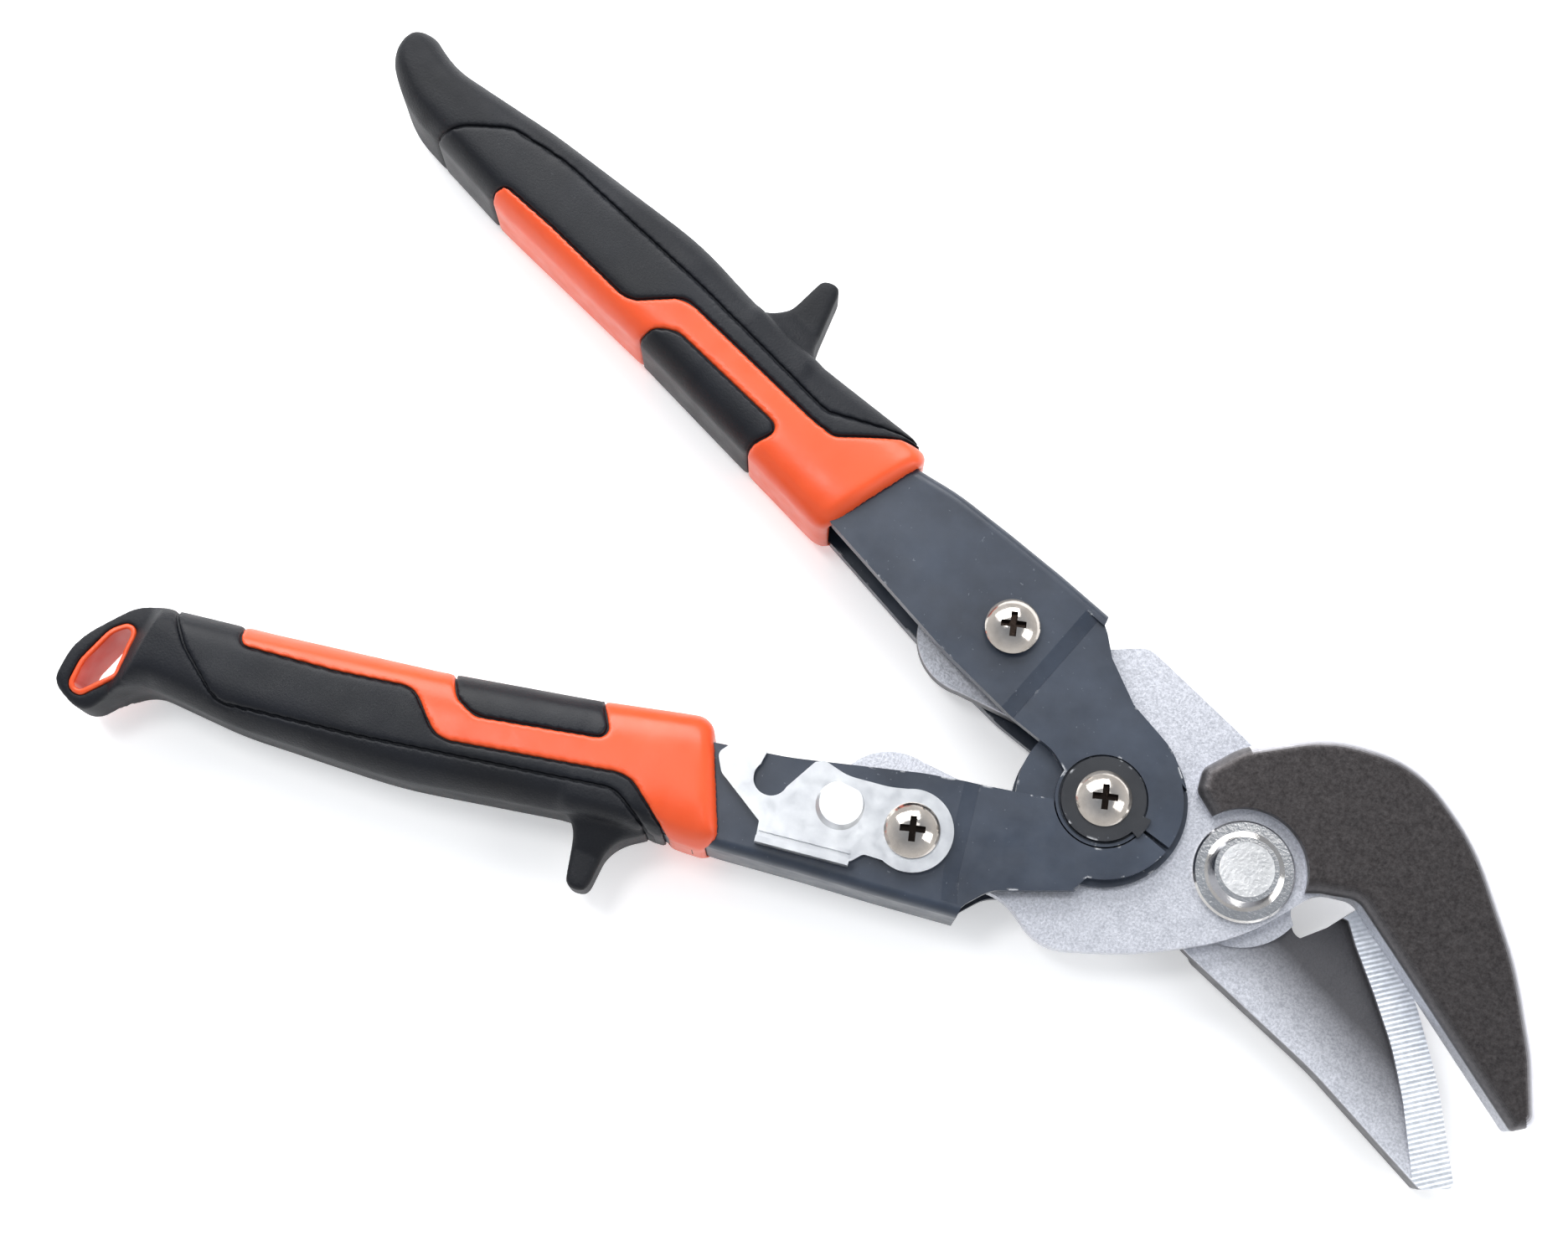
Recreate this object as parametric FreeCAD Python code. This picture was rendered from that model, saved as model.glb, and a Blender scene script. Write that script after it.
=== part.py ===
import FreeCAD, Part
import math
import os

# Offset aviation snips, lying flat and open.  Millimetres.
# +Z is up from the bench, +X runs from the handle pivot through the main pivot to the jaws.
# The origin is on the main pivot's axis, on the bench, under the pivot bolt's head.

V = FreeCAD.Vector
UP = V(0, 0, 1)

# ---- driving dimensions ------------------------------------------------------------------
TANG = 55.0            # main pivot to each link pin
LINK = 32.0            # handle pivot to each link pin
OPEN_DEG = 20.2        # half angle of the linkage at the main pivot when the handles are open
LATCH_REACH = 24.5     # link pin to link pin with the handles closed and latched
MID = 10.75            # height of the shear plane, and half the thickness of the grips

# Heights over the shear plane; every layer but the fasteners' is mirrored below it.
SHEAR_GAP = 0.05       # half the gap between the two blades
TANG_TOP = 3.65        # top of a jaw's tang and hub
HOOK_TOP = 7.0         # top of the hook jaw's thick cutting part
EAR_LOW, EAR_HIGH = 3.8, 5.2       # inner ear of the lower handle
LOWER_IN = 5.2         # inner face of the lower handle's cheeks
UPPER_IN = 5.4         # inner face of the upper handle's cheeks
CHEEK_TOP = 7.4        # outer face of the cheeks' noses
SHANK_TOP = 8.0        # outer face of the cheeks behind the fold
RECESS = 6.5           # floor of the recess round the handle pivot
WASHER_TOP = 8.0
LATCH_LOW, LATCH_TOP = 8.1, 9.3
HEAD_LOW = 9.5         # underside of the link screws' heads
HEAD_TALL = 2.5
NUT_TALL = 2.6

RECESS_R = 7.9
EAR_R = 14.2
LOBE_R = 13.2          # outer ears about the handle pivot
WELL_R = 8.2           # room in both tangs for the bush and spring
SCREW_R = 2.5          # M5
HEAD_R = 4.6
BUSH_R = 3.5
BOLT_R = 4.5
RUN = 0.05             # radial running clearance
OPEN_PIN_PLAY = 0.25   # play at the pivot where the closed linkage is opened
SHEET = 2.1            # handle sheet thickness
SEAM_DEG = -14.5       # where the outer ears meet as the open stop, about the handle pivot

# ---- pivots --------------------------------------------------------------------------------
PIN_Y = TANG * math.sin(math.radians(OPEN_DEG))
PIN_X = -TANG * math.cos(math.radians(OPEN_DEG))
UPPER_PIN = (PIN_X, PIN_Y)
LOWER_PIN = (PIN_X, -PIN_Y)
PIVOT = (PIN_X + math.sqrt(LINK ** 2 - PIN_Y ** 2), 0.0)
NOTCH_DEG = 186.0      # direction from the lower pin to the latch's notch


def at(centre, radius, degrees):
    """The point at an angle round a centre."""
    turn = math.radians(degrees)
    return (centre[0] + radius * math.cos(turn), centre[1] + radius * math.sin(turn))


NOTCH = at(LOWER_PIN, LATCH_REACH, NOTCH_DEG)


# ---- outline and solid helpers -------------------------------------------------------------
def outline(points):
    """A closed wire through (x, y) or (x, y, radius) corners, the radius rounding the corner."""
    corners = [V(p[0], p[1], 0) for p in points]
    radii = [p[2] if len(p) > 2 else 0 for p in points]
    ends = []
    for i, corner in enumerate(corners):
        back = corners[i - 1] - corner
        ahead = corners[(i + 1) % len(corners)] - corner
        if not radii[i]:
            ends.append((corner, None, corner))
            continue
        half = back.getAngle(ahead) / 2
        cut = min(radii[i] / math.tan(half), 0.48 * back.Length, 0.48 * ahead.Length)
        back.normalize()
        ahead.normalize()
        middle = back + ahead
        middle.normalize()
        reach = cut / math.cos(half) - cut * math.tan(half)
        ends.append((corner + back * cut, corner + middle * reach, corner + ahead * cut))
    edges = []
    for i, (start, middle, end) in enumerate(ends):
        if middle is not None:
            edges.append(Part.Arc(start, middle, end).toShape())
        after = ends[(i + 1) % len(ends)][0]
        if end.distanceToPoint(after) > 1e-6:
            edges.append(Part.makeLine(end, after))
    return Part.Wire(edges)


def slab(points, low, high):
    """A flat solid of this outline between two heights over the shear plane."""
    face = Part.Face(outline(points))
    face.translate(V(0, 0, MID + low))
    return face.extrude(UP * (high - low))


def drum(centre, radius, low, high):
    """A round solid standing on a point of the plan, between two heights over the shear plane."""
    return Part.makeCylinder(radius, high - low, V(centre[0], centre[1], MID + low))


def ring(centre, outer, inner, low, high):
    return drum(centre, outer, low, high).cut(drum(centre, inner, low, high))


def hexagon(centre, across_flats, low, high):
    radius = across_flats / math.sqrt(3)
    return slab([at(centre, radius, 60 * i) for i in range(6)], low, high)


def well(centre, reach, radius, low, high):
    """A slot of this radius from one point to another, through a height range."""
    across = V(reach[0] - centre[0], reach[1] - centre[1], 0)
    side = V(-across.y, across.x, 0)
    side.normalize()
    side = side * radius
    corners = [(centre[0] + side.x, centre[1] + side.y), (reach[0] + side.x, reach[1] + side.y),
               (reach[0] - side.x, reach[1] - side.y), (centre[0] - side.x, centre[1] - side.y)]
    ends = [drum(centre, radius, low, high), drum(reach, radius, low, high)]
    return slab(corners, low, high).fuse(ends)


def flipped(shape):
    """The shape's mirror image below the shear plane."""
    return shape.mirror(V(0, 0, MID), UP)


def rounded(shape, radius, picks):
    """Round the edges that picks(edge) chooses."""
    return shape.makeFillet(radius, [e for e in shape.Edges if picks(e)])


# ---- fasteners -----------------------------------------------------------------------------
CROSS_LONG, CROSS_WIDE, CROSS_DEEP = 4.2, 1.1, 1.7
HEAD_DOME_R = 5.9


def pan_screw(centre, head_low, end, necks=()):
    """A cross-recessed pan-head screw; necks are (radius, low, high) shoulders."""
    top = head_low + HEAD_TALL
    ball = Part.makeSphere(HEAD_DOME_R, V(centre[0], centre[1], MID + top - HEAD_DOME_R))
    head = drum(centre, HEAD_R, head_low, top).common(ball)
    screw = head.fuse([drum(centre, SCREW_R, end, head_low)]
                      + [drum(centre, r, low, high) for r, low, high in necks])
    for turn in (0, 90):
        arm = Part.makeBox(CROSS_LONG, CROSS_WIDE, CROSS_DEEP,
                           V(-CROSS_LONG / 2, -CROSS_WIDE / 2, MID + top - CROSS_DEEP))
        arm.rotate(V(0, 0, 0), UP, turn + 20)
        arm.translate(V(centre[0], centre[1], 0))
        screw = screw.cut(arm)
    return screw.removeSplitter()


def lock_nut(centre, face):
    """A hexagon nut below the shear plane, its seat at this height."""
    nut = hexagon(centre, 8.0, face - NUT_TALL, face)
    return nut.cut(drum(centre, SCREW_R, face - NUT_TALL, face))


# ---- jaws ----------------------------------------------------------------------------------
HUB_WELL_SHIFT = (2.0, 3.1)    # how far the handle pivot moves over each tang as the handles close

HOOK = [(-56, -7.1), (-33, -7, 8), (-18, -6, 6), (-15, 7, 10), (-9, 18.5, 14), (3, 27, 24),
        (18, 29.5, 22), (32, 21.5, 40), (46, 6, 60), (54, -6.5, 30), (58.6, -16.5, 2.2),
        (55.3, -19.1, 0.8), (18.5, 4, 3.5), (12.5, 2.6, 6), (4, -10.5, 40), (-11, -20.5, 60),
        (-24.5, -26.3, 9), (-34, -21, 10), (-57, -26.9)]
LOBE_AT = (-56.5, 17.0)
LOBE_TANG_R = 10.0

HOOK_ROUND = 2.2
HOOK_THICK = [(-13.2, 12.5, 2), (-9, 18.5, 14), (3, 27, 24), (18, 29.5, 22), (32, 21.5, 40),
              (46, 6, 60), (54, -6.5, 30), (58.6, -16.5, 2.2), (55.3, -19.1, 0.8), (18.5, 4, 3.5),
              (12.5, 2.2, 3), (8, 0), (-8, 5.5), (-12.5, 8.5, 2)]


def tang_well(side):
    """The room that a tang leaves for the bush and spring; side is +1 for the upper tang."""
    moved = (PIVOT[0] + HUB_WELL_SHIFT[0], PIVOT[1] + side * HUB_WELL_SHIFT[1])
    return well(PIVOT, moved, WELL_R, -TANG_TOP - 1, TANG_TOP + 1)


def hook_jaw():
    """The upper jaw: a flat tang to the lower pin, a hub, and a thick curved hook."""
    low, high = SHEAR_GAP, TANG_TOP
    lobe = drum((LOBE_AT[0], -LOBE_AT[1]), LOBE_TANG_R, low, high)
    jaw = slab(HOOK, low, high).fuse([lobe])
    thick = slab(HOOK_THICK, high - 0.5, HOOK_TOP)
    thick = rounded(thick, HOOK_ROUND, lambda e: e.BoundBox.ZMin > MID + HOOK_TOP - 0.01
                    and e.CenterOfMass.x > 14 and e.CenterOfMass.y > -0.8 * e.CenterOfMass.x + 20)
    thick = thick.cut(drum((0, 0), 10.3, high, HOOK_TOP))
    jaw = jaw.fuse([thick]).cut(tang_well(-1))
    jaw = jaw.cut(drum((0, 0), BOLT_R, low, HOOK_TOP))
    return jaw.cut(drum(LOWER_PIN, BUSH_R + RUN, low, high)).removeSplitter()


LOWER_JAW = [(-57, 26.9), (-38, 23.5, 6), (-29.5, 28.3, 4), (-19.5, 25, 20), (-7.5, 21, 30),
             (6, 15, 12), (13.5, 7.5, 3), (9.7, -1.5, 2.2), (13.7, -6.2, 2.4), (20.2, 4.2, 0.6),
             (33, -4.2, 30), (43, -16.5, 60), (52, -30.7, 1.0), (47.2, -33.3, 1.2),
             (24, -23.7, 60), (-2.5, -15.5, 20), (-13, -11, 6), (-17.5, 5, 6), (-33, 7, 8),
             (-56, 7.1)]
BOSS_R, BOSS_LOW = 9.0, -5.6
BLADE_LOW = -6.0
BLADE_BODY = [(19.2, 1.5, 1), (33, -6.2, 20), (43, -18, 60), (50.5, -30.6, 1), (47.2, -33.3, 1.2),
              (24, -23.7, 60), (-2.5, -15.5, 20), (-1, -10.5, 2), (11, -7.5, 3)]
LAND_EDGE = [(19.3, 1.2), (22, -2, 4), (28, -8, 30), (34, -14.5, 40), (39, -21.5, 40), (46, -33.5)]
HOLLOW_START = (3.0, -16.5)    # on the hollow's shallow side
HOLLOW_TURN, HOLLOW_SLOPE = -21.0, 6.5


def blade_hollow():
    """The sloping hollow that leaves a raised land along the lower blade's cutting edge."""
    plan = slab(LAND_EDGE + [(46, -45), (-10, -45), (-10, 1.2)], -4, 0)
    above = Part.makeBox(100, 40, 20, V(-50, 0, 0))
    above.rotate(V(0, 0, 0), V(1, 0, 0), -HOLLOW_SLOPE)
    above.rotate(V(0, 0, 0), UP, HOLLOW_TURN)
    above.translate(V(HOLLOW_START[0], HOLLOW_START[1], MID - SHEAR_GAP))
    return plan.common(above).cut(drum((0, 0), BOSS_R + 3, -4, 0))


def lower_jaw():
    """The lower jaw: a flat tang to the upper pin, a hub boss and a ground straight blade."""
    low, high = -TANG_TOP, -SHEAR_GAP
    lobe = drum(LOBE_AT, LOBE_TANG_R, low, high)
    jaw = slab(LOWER_JAW, low, high).fuse([lobe, slab(BLADE_BODY, BLADE_LOW, high),
                                           drum((0, 0), BOSS_R, BOSS_LOW, high)])
    jaw = jaw.cut(blade_hollow())
    jaw = jaw.cut(tang_well(1)).cut(drum((0, 0), BOLT_R + RUN, BLADE_LOW, high))
    return jaw.cut(drum(UPPER_PIN, BUSH_R + OPEN_PIN_PLAY, low, high)).removeSplitter()


# ---- main pivot ----------------------------------------------------------------------------
def revolved(profile):
    """A turned solid about the main pivot from (radius, height) corners."""
    corners = [V(r, 0, MID + z) for r, z in profile]
    return Part.Face(Part.makePolygon(corners + corners[:1])).revolve(V(0, 0, 0), UP, 360)


def pivot_bolt():
    head = hexagon((0, 0), 13.0, -MID, -6.5)
    shaft = drum((0, 0), BOLT_R, -6.6, 7.6)
    return head.fuse([drum((0, 0), 7.3, -7.2, -6.5), shaft]).removeSplitter()


def pivot_nut():
    """The polished flange nut, with a cone round the bolt's end."""
    return revolved([(BOLT_R, TANG_TOP), (8.45, TANG_TOP), (8.45, 4.6), (8.1, 5.0), (6.6, 5.0),
                     (5.3, 7.4), (BOLT_R, 7.4)])


# ---- handle frames -------------------------------------------------------------------------
UPPER_SPINE = [(-125, 49.0), (-79, 37.2, 40), (-69.5, 36.3, 40), (-58.5, 33.8, 40), (-48, 31.2, 40),
               (-38, 28.4)]
LOWER_SPINE = [(-125, -42.5), (-79, -35.8, 40), (-65.5, -33.2, 40), (-52, -30.8, 40), (-39, -28.3)]
UPPER_CHEEK = [(-37, 25.5), (-34.5, 22.0), (-28, 16.5), (-19, 12.5, 12), (-10, 3, 12), (-10, -3),
               PIVOT, (-31.5, 0), (-36.5, 3.6, 8), (-46, 5.8, 30), (-60, 10.6, 60), (-86, 21.6),
               (-125, 38.0)]
LOWER_CHEEK = [(-38.6, -25.5), (-36, -21.8, 6), (-24, -15.8, 12), (-12, -9.5, 10), (-10, -3), PIVOT,
               (-33, -3.6, 1), (-44, -6.6, 20), (-54, -9.4, 30), (-75, -17, 60), (-87, -20.2),
               (-125, -32)]


# Everything behind the fold; the fold itself runs through the first three corners.
UPPER_FOLD = [(-38.6, 29.5), (-44.8, 6), (-50, -5), (-130, 20), (-130, 70), (-60, 60)]
LOWER_FOLD = [(-38.6, -29.5), (-41.6, -22), (-45.6, -4), (-60, 10), (-130, 0), (-130, -70),
              (-60, -60)]
FOLD_DROP, FOLD_RUN = 0.55, 2.6
SPINE_ROUND = 1.8


def on_fold(edge, fold):
    """Whether an edge lies on the fold across the cheek, at its top."""
    spots = [v.Point for v in edge.Vertexes]
    line = Part.makePolygon([V(x, y, MID + SHANK_TOP) for x, y in fold[:3]])
    return all(line.distToShape(Part.Vertex(spot))[0] < 1e-4 for spot in spots)


def moved(points, by):
    """The same outline points, moved across the plan."""
    return [(p[0], p[1] + by, *p[2:]) for p in points]


def spine_wall(spine, side):
    """The wall joining a channel's cheeks, with a round bend along both outer edges."""
    inside = moved(spine, -side * SHEET)
    wall = slab(spine + inside[::-1], -SHANK_TOP, SHANK_TOP)
    outside = moved(spine, side)
    outer = slab(spine + outside[::-1], -SHANK_TOP - 1, SHANK_TOP + 1)

    def on_bend(edge):
        level = edge.BoundBox.ZLength < 1e-3
        gaps = [outer.distToShape(Part.Vertex(v.Point))[0] for v in edge.Vertexes]
        return level and max(gaps) < 1e-3
    return rounded(wall, SPINE_ROUND, on_bend)


def channel(spine, cheek, inner, side, fold):
    """The outer cheek and the spine of a stamped channel; behind its fold the cheek stands higher."""
    plan = moved(spine, -side * (SPINE_ROUND + 0.05)) + cheek
    nose = slab(plan, inner, CHEEK_TOP)
    shank = slab(plan, inner, SHANK_TOP).common(slab(fold, inner, SHANK_TOP))
    slope = [e for e in shank.Edges if on_fold(e, fold)]
    return nose.fuse(shank.makeChamfer(FOLD_RUN, FOLD_DROP, slope)), spine_wall(spine, side)


def ear_sector(start, end, outer, low, high):
    """A wedge of a disc about the handle pivot between two angles."""
    wedge = Part.makeCylinder(outer, high - low, V(PIVOT[0], PIVOT[1], MID + low), UP, end - start)
    wedge.rotate(V(PIVOT[0], PIVOT[1], 0), UP, start)
    return wedge


def upper_handle_frame():
    plate, back = channel(UPPER_SPINE, UPPER_CHEEK, UPPER_IN, 1, UPPER_FOLD)
    trim = ring(PIVOT, 40, LOBE_R, UPPER_IN, CHEEK_TOP).common(
        slab([(-24, 12.6), (0, 0), (0, -30), (-30, -30)], UPPER_IN, CHEEK_TOP))
    stop = ear_sector(180, 360 + SEAM_DEG + 0.8, 60, UPPER_IN, CHEEK_TOP).cut(
        drum(PIVOT, RECESS_R, UPPER_IN, CHEEK_TOP))
    plate = plate.cut(trim).cut(stop)
    plate = plate.fuse(drum(PIVOT, RECESS_R, UPPER_IN, CHEEK_TOP))
    plate = plate.cut(drum(PIVOT, RECESS_R - 0.5, RECESS, CHEEK_TOP))
    frame = back.fuse([plate, flipped(plate)])
    for hole in (PIVOT, UPPER_PIN):
        radius = SCREW_R + (RUN if hole is PIVOT else 0)
        frame = frame.cut(drum(hole, radius, -SHANK_TOP, SHANK_TOP))
    return frame.removeSplitter()


def lower_handle_frame():
    plate, back = channel(LOWER_SPINE, LOWER_CHEEK, LOWER_IN, -1, LOWER_FOLD)
    trim = ring(PIVOT, 40, LOBE_R, LOWER_IN, CHEEK_TOP).common(
        slab([(-24, -15.6), (0, -14), (0, 12), (-12, 12)], LOWER_IN, CHEEK_TOP))
    sweep = ear_sector(SEAM_DEG, 180, 60, LOWER_IN, CHEEK_TOP)
    plate = plate.cut(trim).cut(sweep).cut(drum(PIVOT, RECESS_R + 0.25, LOWER_IN, CHEEK_TOP))
    plate = plate.fuse(drum(PIVOT, EAR_R, EAR_LOW, EAR_HIGH))
    frame = back.fuse([plate, flipped(plate)])
    for hole in (PIVOT, LOWER_PIN):
        frame = frame.cut(drum(hole, SCREW_R, -SHANK_TOP, SHANK_TOP))
    return frame.removeSplitter()


# ---- latch ---------------------------------------------------------------------------------
LATCH_PLATE = [(-85.7, -21.6, 1.4), (-84.6, -19.7, 1.0), (-81.3, -17.2, 1.5), (-78.5, -16.8, 1.2),
               (-78.6, -22), (-73.4, -22.5), (-70.7, -15.9, 0.8), (-69.3, -15.0, 1.2),
               (-65, -15.6, 8), (-58, -14.2, 12), (-53.3, -12.4), (-50, -19), (-53.8, -25.5),
               (-57, -26.0, 1), (-58.4, -28.0, 0.5), (-73.8, -31.5, 0.5), (-74.6, -28.7, 0.5),
               (-83.7, -24.3, 2)]
NOTCH_R = 2.9
LATCH_END_R = 6.85
TAB_LINE = [(-58.6, -28.0), (-73.9, -31.2), (-73.7, -32.2), (-58.4, -29.0)]
TAB_RIDGE = [(-59.2, -26.4), (-74.2, -29.6), (-74.0, -30.2), (-59.0, -27.0)]
DIMPLE = (-63.9, -20.6)
DIMPLE_R, DIMPLE_TALL, DIMPLE_SLOPE = 4.0, 1.0, 8.5


def dimple():
    """A pressed D: flush with the plate on its upper side, rising towards its round side."""
    boss = Part.makeCone(DIMPLE_R, DIMPLE_R - 0.8, DIMPLE_TALL,
                         V(DIMPLE[0], DIMPLE[1], MID + LATCH_TOP))
    above = Part.makeBox(20, 20, 5, V(-10, -10, 0))
    above.rotate(V(0, 0, 0), V(1, 0, 0), -DIMPLE_SLOPE)
    above.translate(V(DIMPLE[0], DIMPLE[1] + DIMPLE_R - 0.4, MID + LATCH_TOP))
    return boss.cut(above)


def latch():
    """A sheet hook that swings up on the lower screw and catches the upper screw's neck."""
    plate = slab(LATCH_PLATE, LATCH_LOW, LATCH_TOP)
    plate = plate.cut(drum(NOTCH, NOTCH_R, LATCH_LOW, LATCH_TOP))
    end = drum(LOWER_PIN, LATCH_END_R, LATCH_LOW, LATCH_TOP)
    tab = slab(TAB_LINE, LATCH_LOW, LATCH_TOP + 1.9)
    ridge = slab(TAB_RIDGE, LATCH_LOW, LATCH_TOP + 0.6)
    plate = plate.fuse([end, tab, ridge, dimple()])
    return plate.cut(drum(LOWER_PIN, 2.9 + RUN, LATCH_LOW, LATCH_TOP)).removeSplitter()


# ---- return spring -------------------------------------------------------------------------
WIRE_R, COIL_R, PITCH = 0.6, 6.0, 1.35
LEG_STARTS = (287.0, 45.0)     # where the coil ends, about the handle pivot
WHOLE_TURNS = 4
STEPS_A_TURN = 12
LOWER_LEG, UPPER_LEG = 22.0, 31.0


def return_spring():
    """A torsion spring round the handle pivot's bush, one leg inside each handle."""
    turns = WHOLE_TURNS + ((LEG_STARTS[1] - LEG_STARTS[0]) % 360) / 360
    low = MID - turns * PITCH / 2
    high = MID + turns * PITCH / 2
    foot = at(PIVOT, COIL_R, LEG_STARTS[0])
    head = at(PIVOT, COIL_R, LEG_STARTS[1])
    path = [V(*at(foot, LOWER_LEG * step / 3, LEG_STARTS[0] - 90), low) for step in (3, 2, 1)]
    count = int(turns * STEPS_A_TURN)
    for i in range(count + 1):
        angle = LEG_STARTS[0] + 360 * turns * i / count
        path.append(V(*at(PIVOT, COIL_R, angle), low + (high - low) * i / count))
    path += [V(*at(head, UPPER_LEG * step / 4, LEG_STARTS[1] + 90), high) for step in (1, 2, 3, 4)]
    centreline = Part.BSplineCurve()
    centreline.interpolate(path)
    section = Part.makeCircle(WIRE_R, path[0], path[1] - path[0])
    return Part.Wire(centreline.toShape()).makePipeShell([Part.Wire(section)], True, False)


# ---- grips ---------------------------------------------------------------------------------
GRIP_ROUND = 2.8
SPUR_HALF, SPUR_ROUND = 6.5, 1.2
GAP = 0.2              # the groove between two moulded pieces
FAR = 300              # beyond any grip

UPPER_GRIP = [(-190.3, 71.8, 3.2), (-193.6, 63.5, 7), (-186.5, 56, 20), (-163.5, 46.8, 90),
              (-129, 35.4), (-87.3, 19.8, 3), (-76.2, 38.8, 3.5), (-80.5, 41.8, 5),
              (-107, 47.8, 20), (-129, 56.8, 60), (-160, 63.3, 90), (-183, 66.6, 20)]
UPPER_SPUR = [(-98, 42), (-103.2, 48.5, 6), (-104.1, 61.8, 1.6), (-107.6, 61.2, 1.6),
              (-110.5, 52.4, 7), (-119, 49)]
LOWER_GRIP = [(-190.6, -60.2, 3.2), (-184, -62.8, 3.2), (-178.5, -53.9, 8), (-160, -53.3, 60),
              (-132, -49.2, 90), (-101, -40.6, 20), (-90, -38.2, 20), (-77.8, -36.6, 3),
              (-89.2, -16.2, 3.5), (-108, -22.4, 60), (-133, -29.6, 60), (-160, -36.2, 60),
              (-184, -41.7, 8), (-190.8, -52, 14)]
LOWER_SPUR = [(-107, -40), (-101.8, -42.3, 5), (-98.8, -51.9, 1.6), (-95.2, -51.5, 1.6),
              (-95.4, -42.5, 7), (-88, -36.5)]
UPPER_RUBBER = [(-179.5, 52.5), (-174.5, 56.5, 5), (-167, 59.8, 6), (-156, 58.6, 30),
                (-124, 48.6, 40), (-95.5, 38.3, 5), (-83, 41.0)]
UPPER_PANEL = [(-166, 46.5), (-163.5, 50.2, 2), (-153, 47.2, 20), (-134.5, 41.0, 5),
               (-126, 45.7, 5), (-97, 36, 5), (-92.5, 35, 3), (-82, 40.2)]
UPPER_PAD = [(-131, 35), (-128.4, 38.6, 2), (-124.5, 39.6, 4), (-101, 31.9, 1.5), (-104.6, 28, 1),
             (-106, 20), (-131, 20)]
LOWER_RUBBER = [(-178, -40), (-172.5, -45.5, 6), (-163.5, -51.3, 6), (-140, -46, 60),
                (-98, -34.8, 5), (-88, -39.5)]
LOWER_PANEL = [(-166.5, -37), (-164.5, -41.3, 2), (-148, -38, 20), (-135.3, -34.6, 4),
               (-128, -40.6, 5), (-97, -31.7, 5), (-84, -39.6)]
LOWER_PAD = [(-131.5, -28), (-128, -32.8, 3), (-124, -34.2, 4), (-102.4, -27.6, 1.5),
             (-106.5, -22.6, 1), (-106.5, -10), (-131.5, -10)]
HANG_HOLE = [(-182.9, -45.6, 0.9), (-185.6, -48.4, 4), (-187.4, -55, 4), (-187.2, -59.2, 0.9),
             (-185.8, -59.3, 0.7), (-182.0, -54.4, 1)]
LINER = 0.9
LOOP_HALF = 6.0        # half the hang loop's thickness
LOOP_RISE = [(-181.9, LOOP_HALF), (-178.0, MID + 1)]    # (x, height) from the loop to the grip


def grown(points, by=0.0):
    """A prism of the outline, moved outwards by a distance, through the whole grip."""
    wire = outline(points)
    if by:
        wire = wire.makeOffset2D(by)
    face = Part.Face(wire)
    face.translate(V(0, 0, -1))
    return face.extrude(UP * (2 * MID + 2))


def beyond(line, side):
    """The outline of everything on the outer side of a dividing line across a grip."""
    return line + [(0, line[-1][1] + side), (0, side * FAR), (-FAR, side * FAR), (-FAR, line[0][1])]


def grip_pieces(whole, spur, rubber_line, panel_line, pad, side, envelope):
    """Split a grip into its rubber, side panel, coloured core and finger pad."""
    body = rounded(slab(whole, -MID, MID), GRIP_ROUND, lambda e: e.BoundBox.ZLength < 1e-3)
    stop = rounded(slab(spur, -SPUR_HALF, SPUR_HALF), SPUR_ROUND,
                   lambda e: e.BoundBox.ZLength < 1e-3)
    body = body.fuse(stop).cut(envelope)
    rubber = body.common(grown(beyond(rubber_line, side)))
    rest = body.cut(grown(beyond(rubber_line, side), GAP))
    panel = rest.common(grown(beyond(panel_line, side)))
    rest = rest.cut(grown(beyond(panel_line, side), GAP))
    finger_pad = rest.common(grown(pad))
    core = rest.cut(grown(pad, GAP))
    return {"rubber": rubber, "panel": panel, "core": core, "finger_pad": finger_pad}


def loop_relief():
    """What thins the end of the lower grip to its hang loop, above and below."""
    side = [V(-FAR, 0, MID + LOOP_HALF)] + [V(x, 0, MID + z) for x, z in LOOP_RISE]
    side += [V(-FAR, 0, side[-1].z), side[0]]
    above = Part.Face(Part.makePolygon(side)).extrude(V(0, -FAR, 0))
    return above.fuse(flipped(above))


# ---- the whole tool --------------------------------------------------------------------------
def pin_set(name, centre, cheek, tang_low, tang_high, neck):
    """Screw, nut, bush and spacers of one link pin."""
    return {
        name + "_screw": pan_screw(centre, HEAD_LOW, -SHANK_TOP - NUT_TALL,
                                    [(neck, SHANK_TOP, HEAD_LOW)]),
        name + "_nut": lock_nut(centre, -SHANK_TOP),
        name + "_bush": ring(centre, BUSH_R, SCREW_R, -cheek, cheek),
        name + "_spacers": Part.makeCompound([ring(centre, 6.0, BUSH_R, -cheek, tang_low - RUN),
                                              ring(centre, 6.0, BUSH_R, tang_high + RUN, cheek)]),
    }


def tab_washer():
    washer = ring(PIVOT, 7.0, SCREW_R, RECESS + RUN, WASHER_TOP)
    tab = ear_sector(-24, 2, 8.4, CHEEK_TOP + 0.1, WASHER_TOP)
    return washer.fuse(tab.cut(drum(PIVOT, SCREW_R + 1, RECESS, WASHER_TOP)))


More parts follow.
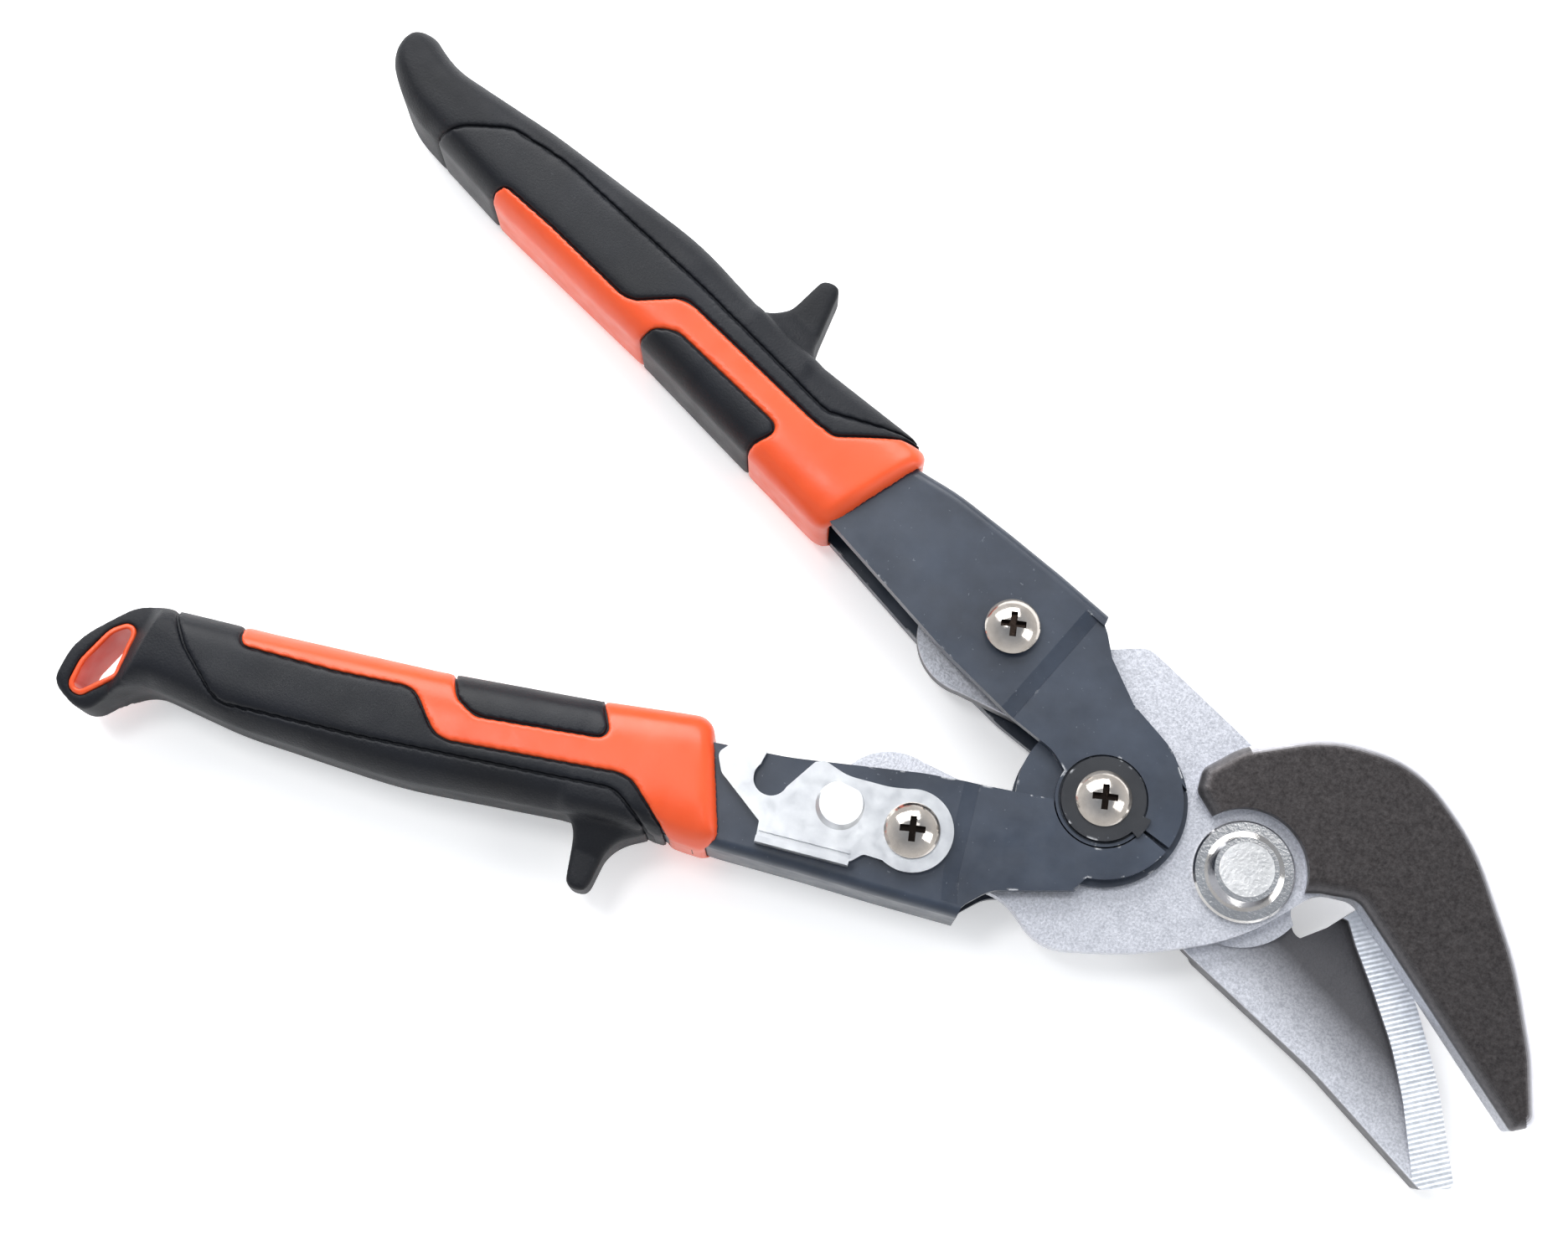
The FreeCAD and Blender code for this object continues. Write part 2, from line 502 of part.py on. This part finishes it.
def build():
    """Every node's shape by name."""
    nodes = {
        "upper_handle_frame": upper_handle_frame(),
        "lower_handle_frame": lower_handle_frame(),
        "hook_jaw": hook_jaw(),
        "lower_jaw": lower_jaw(),
        "pivot_bolt": pivot_bolt(),
        "pivot_nut": pivot_nut(),
        "pivot_washer": ring((0, 0), 8.0, BOLT_R, -6.5, BOSS_LOW - 2 * RUN),
        "latch": latch(),
        "return_spring": return_spring(),
        "handle_pivot_screw": pan_screw(PIVOT, WASHER_TOP, -10.0),
        "handle_pivot_nut": lock_nut(PIVOT, -RECESS - RUN),
        "handle_pivot_bush": ring(PIVOT, 4.2, SCREW_R, -EAR_LOW, EAR_LOW),
        "tab_washer": tab_washer(),
    }
    nodes.update(pin_set("upper_link", UPPER_PIN, UPPER_IN, -TANG_TOP, -SHEAR_GAP, 2.6))
    nodes.update(pin_set("lower_link", LOWER_PIN, LOWER_IN, SHEAR_GAP, TANG_TOP, 2.9))
    grips = (("upper_grip_", UPPER_GRIP, UPPER_SPUR, UPPER_RUBBER, UPPER_PANEL, UPPER_PAD, 1,
              UPPER_SPINE + UPPER_CHEEK),
             ("lower_grip_", LOWER_GRIP, LOWER_SPUR, LOWER_RUBBER, LOWER_PANEL, LOWER_PAD, -1,
              LOWER_SPINE + LOWER_CHEEK))
    for prefix, whole, spur, rubber_line, panel_line, pad, side, channel_plan in grips:
        envelope = slab(channel_plan, -SHANK_TOP, SHANK_TOP)
        pieces = grip_pieces(whole, spur, rubber_line, panel_line, pad, side, envelope)
        for name, shape in pieces.items():
            nodes[prefix + name] = shape
    loop_room = grown(HANG_HOLE, LINER)
    nodes["lower_grip_rubber"] = nodes["lower_grip_rubber"].cut(loop_relief()).cut(loop_room)
    liner = loop_room.cut(grown(HANG_HOLE))
    band = Part.makeBox(FAR, FAR, 2 * LOOP_HALF, V(-FAR, -FAR, MID - LOOP_HALF))
    nodes["hang_loop_liner"] = liner.common(band)
    return nodes


os.makedirs("parts", exist_ok=True)
for name, shape in build().items():
    shape.exportStep("parts/" + name + ".step")
    print(name, shape.isValid(), len(shape.Solids), round(shape.Volume))
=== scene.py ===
import math

import bmesh
import bpy
import numpy as np
from mathutils import Matrix, Vector

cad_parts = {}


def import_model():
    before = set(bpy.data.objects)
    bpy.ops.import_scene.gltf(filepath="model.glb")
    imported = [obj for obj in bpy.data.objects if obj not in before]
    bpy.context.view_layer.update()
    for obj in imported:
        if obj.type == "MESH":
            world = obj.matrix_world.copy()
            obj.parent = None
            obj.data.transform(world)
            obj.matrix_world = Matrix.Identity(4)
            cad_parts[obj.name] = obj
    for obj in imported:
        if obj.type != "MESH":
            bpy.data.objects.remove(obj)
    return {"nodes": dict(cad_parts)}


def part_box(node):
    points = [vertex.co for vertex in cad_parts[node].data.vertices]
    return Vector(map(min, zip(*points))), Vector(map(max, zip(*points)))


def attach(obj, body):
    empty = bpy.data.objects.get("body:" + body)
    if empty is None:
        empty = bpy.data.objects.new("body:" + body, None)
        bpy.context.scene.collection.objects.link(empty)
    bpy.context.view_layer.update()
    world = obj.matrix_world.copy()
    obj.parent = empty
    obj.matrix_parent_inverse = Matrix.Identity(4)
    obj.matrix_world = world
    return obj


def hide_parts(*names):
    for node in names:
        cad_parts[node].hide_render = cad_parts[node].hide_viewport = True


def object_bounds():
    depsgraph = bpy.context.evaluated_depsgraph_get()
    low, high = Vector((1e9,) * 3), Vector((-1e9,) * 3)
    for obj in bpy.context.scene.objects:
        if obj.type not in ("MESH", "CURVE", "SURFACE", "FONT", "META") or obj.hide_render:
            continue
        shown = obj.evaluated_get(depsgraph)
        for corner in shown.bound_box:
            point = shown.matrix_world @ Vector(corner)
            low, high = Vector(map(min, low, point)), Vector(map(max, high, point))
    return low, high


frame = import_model()
cad_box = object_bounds()

MM = 0.001
grip_low, grip_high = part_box("upper_grip_rubber")
MID = (grip_low[2] + grip_high[2]) / 2     # the shear plane's height


# ---- material helpers --------------------------------------------------------------------
class Nodes:
    """A short way to write a procedural material."""

    def __init__(self, name):
        self.material = bpy.data.materials.new(name)
        self.material.use_nodes = True
        self.tree = self.material.node_tree
        self.shader = self.tree.nodes["Principled BSDF"]
        self.place = self.add("ShaderNodeTexCoord").outputs["Object"]

    def add(self, kind, **settings):
        node = self.tree.nodes.new(kind)
        for key, value in settings.items():
            setattr(node, key, value)
        return node

    def join(self, source, target):
        self.tree.links.new(source, target)

    def noise(self, scale, detail=2.0, rough=0.5, place=None):
        node = self.add("ShaderNodeTexNoise")
        node.inputs["Scale"].default_value = scale
        node.inputs["Detail"].default_value = detail
        node.inputs["Roughness"].default_value = rough
        self.join(place or self.place, node.inputs["Vector"])
        return node.outputs["Fac"]

    def ramp(self, source, stops):
        """Map a value to greys or colours; stops are (position, value or colour)."""
        node = self.add("ShaderNodeValToRGB")
        band = node.color_ramp
        while len(band.elements) < len(stops):
            band.elements.new(0.5)
        for element, (spot, value) in zip(band.elements, stops):
            element.position = spot
            colour = value if isinstance(value, tuple) else (value,) * 3
            element.color = (*colour, 1)
        self.join(source, node.inputs["Fac"])
        return node.outputs["Color"]

    def math(self, operation, a, b=0.0):
        node = self.add("ShaderNodeMath", operation=operation)
        for socket, value in zip(node.inputs, (a, b)):
            if isinstance(value, (int, float)):
                socket.default_value = value
            else:
                self.join(value, socket)
        return node.outputs[0]

    def vector(self, operation, a, b=None):
        """Vector maths on sockets or tuples; DOT_PRODUCT and LENGTH give a number."""
        node = self.add("ShaderNodeVectorMath", operation=operation)
        for socket, value in zip(node.inputs, (a, b)):
            if isinstance(value, tuple):
                socket.default_value = value
            elif value is not None:
                self.join(value, socket)
        return node.outputs["Value" if operation in ("DOT_PRODUCT", "LENGTH") else "Vector"]

    def mix(self, factor, a, b):
        node = self.add("ShaderNodeMix", data_type="RGBA")
        self.join(factor, node.inputs["Factor"])
        for socket, value in ((node.inputs[6], a), (node.inputs[7], b)):
            if isinstance(value, tuple):
                socket.default_value = (*value, 1)
            else:
                self.join(value, socket)
        return node.outputs[2]

    def set(self, name, value):
        self.shader.inputs[name].default_value = value

    def colour(self, source):
        self.join(source, self.shader.inputs["Base Color"])

    def rough(self, source):
        self.join(source, self.shader.inputs["Roughness"])

    def bump(self, source, height, strength=1.0):
        """Raise the surface by source times height, in metres."""
        node = self.add("ShaderNodeBump")
        node.inputs["Strength"].default_value = strength
        node.inputs["Distance"].default_value = height
        self.join(source, node.inputs["Height"])
        before = self.shader.inputs["Normal"].links
        if before:
            self.join(before[0].from_socket, node.inputs["Normal"])
        self.join(node.outputs["Normal"], self.shader.inputs["Normal"])

    def part_of_place(self, axis):
        node = self.add("ShaderNodeSeparateXYZ")
        self.join(self.place, node.inputs[0])
        return node.outputs[axis]

    def facing(self, direction):
        """How far the real surface faces a direction: 1 straight at it, 0 at right angles."""
        geometry = self.add("ShaderNodeNewGeometry")
        return self.vector("DOT_PRODUCT", geometry.outputs["True Normal"], direction)

    def edges(self, width, start=0.02, end=0.12):
        """1 on sharp edges, falling to 0 on flats further than the width from them."""
        geometry = self.add("ShaderNodeNewGeometry")
        bevel = self.add("ShaderNodeBevel", samples=6)
        bevel.inputs["Radius"].default_value = width
        level = self.vector("DOT_PRODUCT", geometry.outputs["Normal"], bevel.outputs["Normal"])
        return self.ramp(self.math("SUBTRACT", 1.0, level), [(start, 0.0), (end, 1.0)])


# ---- materials -----------------------------------------------------------------------------
def rubber(name, base, shine, grain):
    """Grained soft grip: slightly mottled, dusty in places."""
    m = Nodes(name)
    patches = m.noise(60, 4)
    dust = m.ramp(m.noise(900, 3, 0.7), [(0.66, 0.0), (0.78, 1.0)])
    darker, lighter = (tuple(c * share for c in base) for share in (0.75, 1.35))
    tone = m.ramp(patches, [(0.3, darker), (0.7, lighter)])
    m.colour(m.mix(m.math("MULTIPLY", dust, 0.16), tone, (0.08, 0.085, 0.095)))
    m.rough(m.ramp(m.noise(140, 3), [(0.25, shine - 0.07), (0.75, shine + 0.08)]))
    m.set("Specular IOR Level", 0.30)
    m.bump(m.noise(2600, 3, 0.65), grain * MM)
    m.bump(patches, 0.12 * MM, 0.5)
    return m.material


def orange():
    """Satin moulded plastic, a little see-through in its skin."""
    m = Nodes("orange_plastic")
    m.colour(m.ramp(m.noise(45, 3), [(0.3, (0.68, 0.070, 0.012)), (0.7, (0.78, 0.092, 0.020))]))
    m.rough(m.ramp(m.noise(260, 3), [(0.3, 0.30), (0.7, 0.42)]))
    m.bump(m.noise(1500, 2), 0.012 * MM)
    m.bump(m.noise(90, 2), 0.10 * MM, 0.4)
    m.set("Subsurface Weight", 0.12)
    m.set("Subsurface Scale", 1.2 * MM)
    m.set("Subsurface Radius", (1.0, 0.35, 0.15))
    return m.material


CHIP_WIDTH = 0.7 * MM      # how far paint chips reach from an edge


def paint(name, dark, light):
    """Blue-black paint, mottled with lighter patches of painted sheen, with specks, faint
    scratches and chips on the edges.
    """
    m = Nodes(name)
    specks = m.ramp(m.noise(1100, 2, 0.8), [(0.70, 0.0), (0.74, 1.0)])
    worn_spots = m.ramp(m.noise(330, 4), [(0.58, 0.0), (0.64, 1.0)])
    chips = m.math("MULTIPLY", m.edges(CHIP_WIDTH), worn_spots)
    # Mottled tone, random over the paint; its lighter patches are painted sheen, standing in for
    # the paint's bluish reflections.
    tone = m.ramp(m.noise(70, 5, 0.6), [(0.3, dark), (0.7, light)])
    tone = m.mix(m.math("MULTIPLY", specks, 0.35), tone, (0.20, 0.22, 0.25))
    m.colour(m.mix(chips, tone, (0.52, 0.53, 0.55)))
    m.rough(m.ramp(m.noise(180, 5, 0.6), [(0.3, 0.30), (0.7, 0.46)]))
    m.set("Specular IOR Level", 0.60)
    m.bump(m.noise(500, 3), 0.02 * MM)
    m.bump(m.math("SUBTRACT", 0.0, chips), 0.05 * MM)
    return m.material


def metal(name, dark, light, smooth, coarse, grain=1800, grain_high=0.02, patch=120):
    """Plated or machined metal: colour between two tones, roughness between two values."""
    m = Nodes(name)
    m.set("Metallic", 1.0)
    m.colour(m.ramp(m.noise(patch, 4, 0.6), [(0.3, dark), (0.7, light)]))
    m.rough(m.ramp(m.noise(patch * 3, 4, 0.6), [(0.3, smooth), (0.7, coarse)]))
    m.bump(m.noise(grain, 3, 0.6), grain_high * MM)
    return m.material


def blasted(m, dark, light):
    """The sand-blasted grey of both jaws."""
    m.set("Metallic", 0.75)
    sparkle = m.noise(2300, 2, 0.7)
    tone = m.ramp(sparkle, [(0.35, dark), (0.65, light)])
    m.bump(sparkle, 0.05 * MM)
    return tone


RECESS_REACH = 2.3 * MM    # from a screw's axis to the end of its cross recess
RECESS_TOP = 0.55 * MM     # painted shade starts this far below the top of the screw


def screw_plate(name, node):
    """Warm nickel plate, with painted shade in the cross recess of this screw."""
    low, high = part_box(node)
    axis = ((low[0] + high[0]) / 2, (low[1] + high[1]) / 2, 0)
    m = Nodes(name)
    m.set("Metallic", 1.0)
    sideways = m.vector("MULTIPLY", m.vector("SUBTRACT", m.place, axis), (1, 1, 0))
    near = m.math("LESS_THAN", m.vector("LENGTH", sideways), RECESS_REACH)
    deep = m.math("LESS_THAN", m.part_of_place("Z"), float(high[2]) - RECESS_TOP)
    # Painted shade: the plate is coloured near black inside the cross recess.
    recess_shade = m.math("MULTIPLY", near, deep)
    plate = m.ramp(m.noise(240, 4, 0.6), [(0.3, (0.50, 0.46, 0.42)), (0.7, (0.68, 0.63, 0.58))])
    m.colour(m.mix(recess_shade, plate, (0.035, 0.025, 0.020)))
    m.rough(m.ramp(m.noise(500, 4, 0.6), [(0.3, 0.08), (0.7, 0.18)]))
    m.bump(m.noise(1500, 3, 0.6), 0.012 * MM)
    return m.material


HUB_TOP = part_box("pivot_nut")[0][2]
COAT_LIFT = 1.0 * MM                  # the hook's dark coat starts this far above the hub
HOOK_OUTWARDS = (0.74, 0.67, 0.0)     # the way the hook's outer edge faces, where its painted highlight lies


def hook_finish():
    """Blasted tang and hub; a dark coating on the thick hook, with a painted highlight along its
    outer edge.
    """
    m = Nodes("hook_jaw_steel")
    plain = blasted(m, (0.44, 0.45, 0.49), (0.64, 0.65, 0.70))
    grains = m.noise(1500, 3, 0.7)
    coat = m.ramp(grains, [(0.3, (0.030, 0.026, 0.026)), (0.72, (0.075, 0.068, 0.068))])
    height = m.part_of_place("Z")
    above = m.math("MULTIPLY", m.math("SUBTRACT", height, HUB_TOP + COAT_LIFT), 1 / MM)
    thick = m.ramp(above, [(0.0, 0.0), (0.6, 1.0)])
    # Dark on the top and the walls, bright on the round between them: a painted highlight, only
    # where the round faces outwards.
    rim_highlight = m.ramp(m.facing((0, 0, 1)), [(0.05, 0.0), (0.25, 1.0), (0.75, 0.8), (0.985, 0.0)])
    rim_highlight = m.math("MULTIPLY", rim_highlight, m.ramp(m.facing(HOOK_OUTWARDS), [(0.0, 0.12), (0.05, 1.0)]))
    coated = m.mix(rim_highlight, coat, (0.74, 0.74, 0.79))
    m.colour(m.mix(thick, plain, coated))
    m.rough(m.ramp(m.noise(500, 3), [(0.3, 0.36), (0.7, 0.52)]))
    return m.material


LAND_ALONG = math.radians(-51)     # the lower blade's ground land runs this way
LAND_SPAN = 20 * MM                # the land starts at about 0.9 of this, along X
LAND_DROP = 0.05 * MM              # lower than this is hollow, not land
HOLLOW_DEEP = 1.6 * MM
SERRATION_PITCH = 0.8 * MM
SERRATION_DEEP = 0.045 * MM


def blade_finish():
    """Blasted body with painted shade deepening into its hollow, and a bright serrated land
    along the cutting edge.
    """
    m = Nodes("lower_jaw_steel")
    plain = blasted(m, (0.44, 0.45, 0.49), (0.66, 0.67, 0.72))
    height = m.part_of_place("Z")
    # Painted shade: the body darkens with depth below the land, into the hollow.
    depth = m.math("MULTIPLY", m.math("SUBTRACT", MID - LAND_DROP, height), 1 / HOLLOW_DEEP)
    hollow_shade = m.ramp(depth, [(0.10, 0.0), (0.85, 0.96)])
    tone = m.mix(hollow_shade, plain, (0.075, 0.073, 0.078))
    top = m.ramp(depth, [(0.01, 1.0), (0.04, 0.0)])
    forward = m.math("MULTIPLY", m.part_of_place("X"), 1 / LAND_SPAN)
    front = m.ramp(forward, [(0.88, 0.0), (0.92, 1.0)])
    land = m.math("MULTIPLY", top, front)
    bright = m.ramp(m.noise(900, 4), [(0.3, (0.60, 0.63, 0.68)), (0.7, (0.80, 0.83, 0.88))])
    m.colour(m.mix(land, tone, bright))
    along = m.vector("DOT_PRODUCT", m.place, (math.cos(LAND_ALONG), math.sin(LAND_ALONG), 0))
    wave = m.math("SINE", m.math("MULTIPLY", along, math.tau / SERRATION_PITCH))
    m.bump(m.math("MULTIPLY", wave, land), SERRATION_DEEP)
    m.rough(m.ramp(m.noise(500, 3), [(0.3, 0.38), (0.7, 0.52)]))
    return m.material


BLACK = (0.0028, 0.0038, 0.0068)
finishes = {
    "rubber": rubber("grip_rubber", BLACK, 0.56, 0.10),
    "panel": rubber("grip_panel", BLACK, 0.46, 0.045),
    "orange": orange(),
    "paint": paint("black_paint", (0.012, 0.018, 0.031), (0.034, 0.046, 0.070)),
    "washer": paint("washer_paint", (0.006, 0.007, 0.010), (0.014, 0.016, 0.021)),
    "zinc": metal("zinc_plate", (0.58, 0.59, 0.61), (0.76, 0.77, 0.78), 0.28, 0.38,
                  grain=1500, grain_high=0.012, patch=150),
    "steel": metal("machined_steel", (0.36, 0.36, 0.37), (0.52, 0.52, 0.54), 0.24, 0.42),
    "bolt_end": metal("blasted_bolt", (0.58, 0.58, 0.58), (0.80, 0.80, 0.80), 0.34, 0.50,
                      grain=1700, grain_high=0.10),
    "flange": metal("polished_flange", (0.66, 0.64, 0.62), (0.84, 0.83, 0.82), 0.07, 0.15),
    "spring": metal("spring_wire", (0.16, 0.16, 0.17), (0.30, 0.30, 0.31), 0.25, 0.40),
    "hook": hook_finish(),
    "blade": blade_finish(),
}


def finish_node(node, key):
    """Give a carried CAD node its material."""
    data = frame["nodes"][node].data
    data.materials.clear()
    data.materials.append(finishes[key])


CARRIED = {
    "paint": ("upper_handle_frame", "lower_handle_frame"),
    "washer": ("tab_washer",),
    "zinc": ("latch",),
    "steel": ("pivot_washer", "handle_pivot_nut", "upper_link_nut", "lower_link_nut",
              "handle_pivot_bush", "upper_link_bush", "lower_link_bush", "upper_link_spacers",
              "lower_link_spacers"),
    "bolt_end": ("pivot_bolt",),
    "flange": ("pivot_nut",),
    "spring": ("return_spring",),
    "hook": ("hook_jaw",),
    "blade": ("lower_jaw",),
}
for node in ("handle_pivot_screw", "upper_link_screw", "lower_link_screw"):
    finishes[node] = screw_plate("nickel_" + node, node)
    finish_node(node, node)
for key, names in CARRIED.items():
    for node in names:
        finish_node(node, key)


# ---- grips: moulded, crowned forms from the frame's own blocks -------------------------------
VOXEL = 0.55 * MM
SMOOTH_PASSES = 5
CROWN = 0.30           # how far the grip's thickness falls off at its sides, as a share
CROWN_POWER = 3.2
STATIONS = 60
STOP_RISE = 4 * MM     # a station this much wider than most holds the finger stop
LEAST_HALF = 3 * MM    # half width at the grip's very ends
WELD_REACH = 0.002 * MM
LINER_VOXEL = 0.3 * MM
HEART_VOXEL = 1.0 * MM     # coarse enough to close the grooves
HEART_INSET = 0.7 * MM     # how far the heart lies under the skins


def points_of(obj):
    flat = np.empty(len(obj.data.vertices) * 3)
    obj.data.vertices.foreach_get("co", flat)
    return flat.reshape(-1, 3)


class Grip:
    """The plan of one grip: its axis, and its middle and half width along it."""

    def __init__(self, cloud, side):
        front, back = cloud[cloud[:, 0].argmax()], cloud[cloud[:, 0].argmin()]
        self.along = (front - back) / np.linalg.norm(front - back)
        self.across = np.array([-self.along[1], self.along[0]]) * side
        self.start = back
        s, t = self.measure(cloud)
        self.length = s.max()
        self.stations = np.linspace(0, self.length, STATIONS)
        width = self.length / STATIONS
        near = [t[np.abs(s - spot) < width] for spot in self.stations]
        lows = np.array([n.min() for n in near])
        highs = np.array([n.max() for n in near])
        stop = (highs > np.median(highs) + STOP_RISE) & (self.stations > 0.5 * self.length)
        highs[stop] = np.interp(self.stations[stop], self.stations[~stop], highs[~stop])
        self.middle = (lows + highs) / 2
        self.half = np.maximum((highs - lows) / 2, LEAST_HALF)

    def measure(self, plan):
        offset = plan - self.start
        return offset @ self.along, offset @ self.across

    def share(self, points):
        """How far each point is from the grip's middle line, 0 to 1 at its sides."""
        s, t = self.measure(points[:, :2])
        middle = np.interp(s, self.stations, self.middle)
        half = np.interp(s, self.stations, self.half)
        return (t - middle) / half


def softened(name, nodes, voxel, inset=0.0):
    """One evenly meshed, softened copy of some grip blocks, its surface moved inwards."""
    form = bmesh.new()
    for node in nodes:
        form.from_mesh(frame["nodes"][node].data)
    mesh = bpy.data.meshes.new(name)
    form.to_mesh(mesh)
    form.free()
    piece = bpy.data.objects.new(name, mesh)
    bpy.context.scene.collection.objects.link(piece)
    weld = piece.modifiers.new("weld", "WELD")
    weld.merge_threshold = WELD_REACH
    remesh = piece.modifiers.new("even", "REMESH")
    remesh.mode = "VOXEL"
    remesh.voxel_size = voxel
    if inset:
        shrink = piece.modifiers.new("shrink", "DISPLACE")
        shrink.mid_level = 0
        shrink.strength = -inset
    soften = piece.modifiers.new("soften", "SMOOTH")
    soften.factor = 0.5
    soften.iterations = SMOOTH_PASSES
    depsgraph = bpy.context.evaluated_depsgraph_get()
    final = bpy.data.meshes.new_from_object(piece.evaluated_get(depsgraph))
    piece.modifiers.clear()
    piece.data = final
    return piece


def crowned(piece, grip):
    """Thin the grip towards its sides, so that its section is a soft oval."""
    points = points_of(piece)
    share = np.clip(np.abs(grip.share(points)), 0, 1.1)
    points[:, 2] = MID + (points[:, 2] - MID) * (1 - CROWN * share ** CROWN_POWER)
    piece.data.vertices.foreach_set("co", points.ravel())
    piece.data.update()


PIECES = (("rubber", "rubber", "black_rubber"), ("panel", "panel", "black_panel"),
          ("finger_pad", "panel", "black_panel"), ("core", "orange", "orange_plastic"))


def dress(piece, key, body):
    piece.data.materials.clear()
    piece.data.materials.append(finishes[key])
    piece.data.polygons.foreach_set("use_smooth", [True] * len(piece.data.polygons))
    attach(piece, body)


def grip_skins(prefix, side, body):
    """The four moulded skins of one grip, and the dark block under the grooves between them."""
    voxel = VOXEL
    nodes = [prefix + kind for kind, _, _ in PIECES]
    skins = [softened(node + "_skin", [node], voxel) for node in nodes]
    grip = Grip(np.vstack([points_of(skin)[:, :2] for skin in skins]), side)
    for skin, node, (_, key, slot) in zip(skins, nodes, PIECES):
        crowned(skin, grip)
        dress(skin, key, body)
        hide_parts(node)
    heart = softened(prefix + "heart", nodes, HEART_VOXEL, HEART_INSET)
    crowned(heart, grip)
    dress(heart, "rubber", body)
    return grip


grip_skins("upper_grip_", 1, "upper_handle")
lower_grip = grip_skins("lower_grip_", -1, "lower_handle")
liner = softened("hang_loop_liner_skin", ["hang_loop_liner"], LINER_VOXEL)
crowned(liner, lower_grip)
dress(liner, "orange", "lower_handle")
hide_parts("hang_loop_liner")


# ---- floor, light and camera -----------------------------------------------------------------
FLOOR_HALF = 3.0           # m
FLOOR_DROP = 0.05 * MM     # keeps it clear of the tool's underside
FLOOR_GLOW = 0.35
CORNERS = ((-1, -1), (1, -1), (1, 1), (-1, 1))


def floor():
    """A wide pale sheet under the tool, glowing a little so that it reads as white."""
    mesh = bpy.data.meshes.new("floor")
    places = [(x * FLOOR_HALF, y * FLOOR_HALF, -FLOOR_DROP) for x, y in CORNERS]
    mesh.from_pydata(places, [], [(0, 1, 2, 3)])
    piece = bpy.data.objects.new("floor", mesh)
    bpy.context.scene.collection.objects.link(piece)
    m = Nodes("pale_floor")
    m.colour(m.ramp(m.noise(6, 2), [(0.3, (0.93, 0.93, 0.93)), (0.7, (0.95, 0.95, 0.95))]))
    m.set("Roughness", 0.9)
    m.set("Emission Color", (1, 1, 1, 1))
    m.set("Emission Strength", FLOOR_GLOW)
    mesh.materials.append(m.material)


def area_light(name, place, target, size, power):
    data = bpy.data.lights.new(name, "AREA")
    data.shape = "RECTANGLE"
    data.size, data.size_y = size
    data.energy = power
    lamp = bpy.data.objects.new(name, data)
    lamp.location = place
    lamp.rotation_euler = (Vector(target) - Vector(place)).to_track_quat("-Z", "Y").to_euler()
    bpy.context.scene.collection.objects.link(lamp)


SKY = 0.80
HORIZON = (1.0, 1.0, 1.0, 1)
ZENITH = (0.40, 0.44, 0.50, 1)
HORIZON_END = 0.15         # height on the sky, 0 to 1, where it starts to dim


def world():
    """A pale room, dimmer overhead, so that level metal keeps its contrast."""
    scene = bpy.context.scene
    scene.view_settings.view_transform = "Standard"
    scene.world = bpy.data.worlds.new("studio")
    scene.world.use_nodes = True
    tree = scene.world.node_tree
    back = tree.nodes["Background"]
    place = tree.nodes.new("ShaderNodeTexCoord")
    part = tree.nodes.new("ShaderNodeSeparateXYZ")
    ramp = tree.nodes.new("ShaderNodeValToRGB")
    ramp.color_ramp.elements[0].position = HORIZON_END
    ramp.color_ramp.elements[0].color = HORIZON
    ramp.color_ramp.elements[1].color = ZENITH
    tree.links.new(place.outputs["Generated"], part.inputs[0])
    tree.links.new(part.outputs["Z"], ramp.inputs["Fac"])
    tree.links.new(ramp.outputs["Color"], back.inputs["Color"])
    back.inputs["Strength"].default_value = SKY


SENSOR = 36.0
LENS = 57.69                      # mm, on a 36 mm sensor
REACH = 0.426                     # m from the camera to the shear plane, along its line of sight
ROLL = math.radians(26.63)        # the picture's right, measured from the tool's +X
TILT = math.radians(12.5)         # how far the camera leans towards the picture's bottom
AIM = Vector((-86.85 * MM, 4.82 * MM, MID))    # where its line of sight meets the shear plane


def camera():
    """The camera looks down on the tool, tilted a little."""
    right = Vector((math.cos(ROLL), math.sin(ROLL), 0))
    up = Vector((-math.sin(ROLL), math.cos(ROLL), 0))
    back = up * -math.sin(TILT) + Vector((0, 0, math.cos(TILT)))
    top = back.cross(right)
    data = bpy.data.cameras.new("camera")
    data.sensor_width = SENSOR
    data.lens = LENS
    data.clip_start = 0.01
    eye = bpy.data.objects.new("camera", data)
    place = AIM + back * REACH
    turn = Matrix((right, top, back)).transposed().to_4x4()
    eye.matrix_world = Matrix.Translation(place) @ turn
    bpy.context.scene.collection.objects.link(eye)
    bpy.context.scene.camera = eye
    return up, right


floor()
world()
picture_up, picture_right = camera()
centre = (Vector(cad_box[0]) + Vector(cad_box[1])) / 2


def spot(right, up, high):
    """A place given in the picture's directions, in metres from the tool's middle."""
    return centre + picture_right * right + picture_up * up + Vector((0, 0, high))


# Each light's place for spot(), its size in metres and its power in watts.
LIGHTS = {
    "window": ((-0.12, 0.60, 0.50), (1.0, 0.45), 8.5),
    "fill": ((0.70, -0.25, 0.50), (0.4, 0.5), 2),
    "lamp": ((-0.25, 0.12, 0.80), (0.16, 0.16), 1.5),
    "sheen": ((0.15, 0.25, 0.70), (0.32, 0.24), 0.35),
}
for name, (place, size, power) in LIGHTS.items():
    area_light(name, spot(*place), centre, size, power)
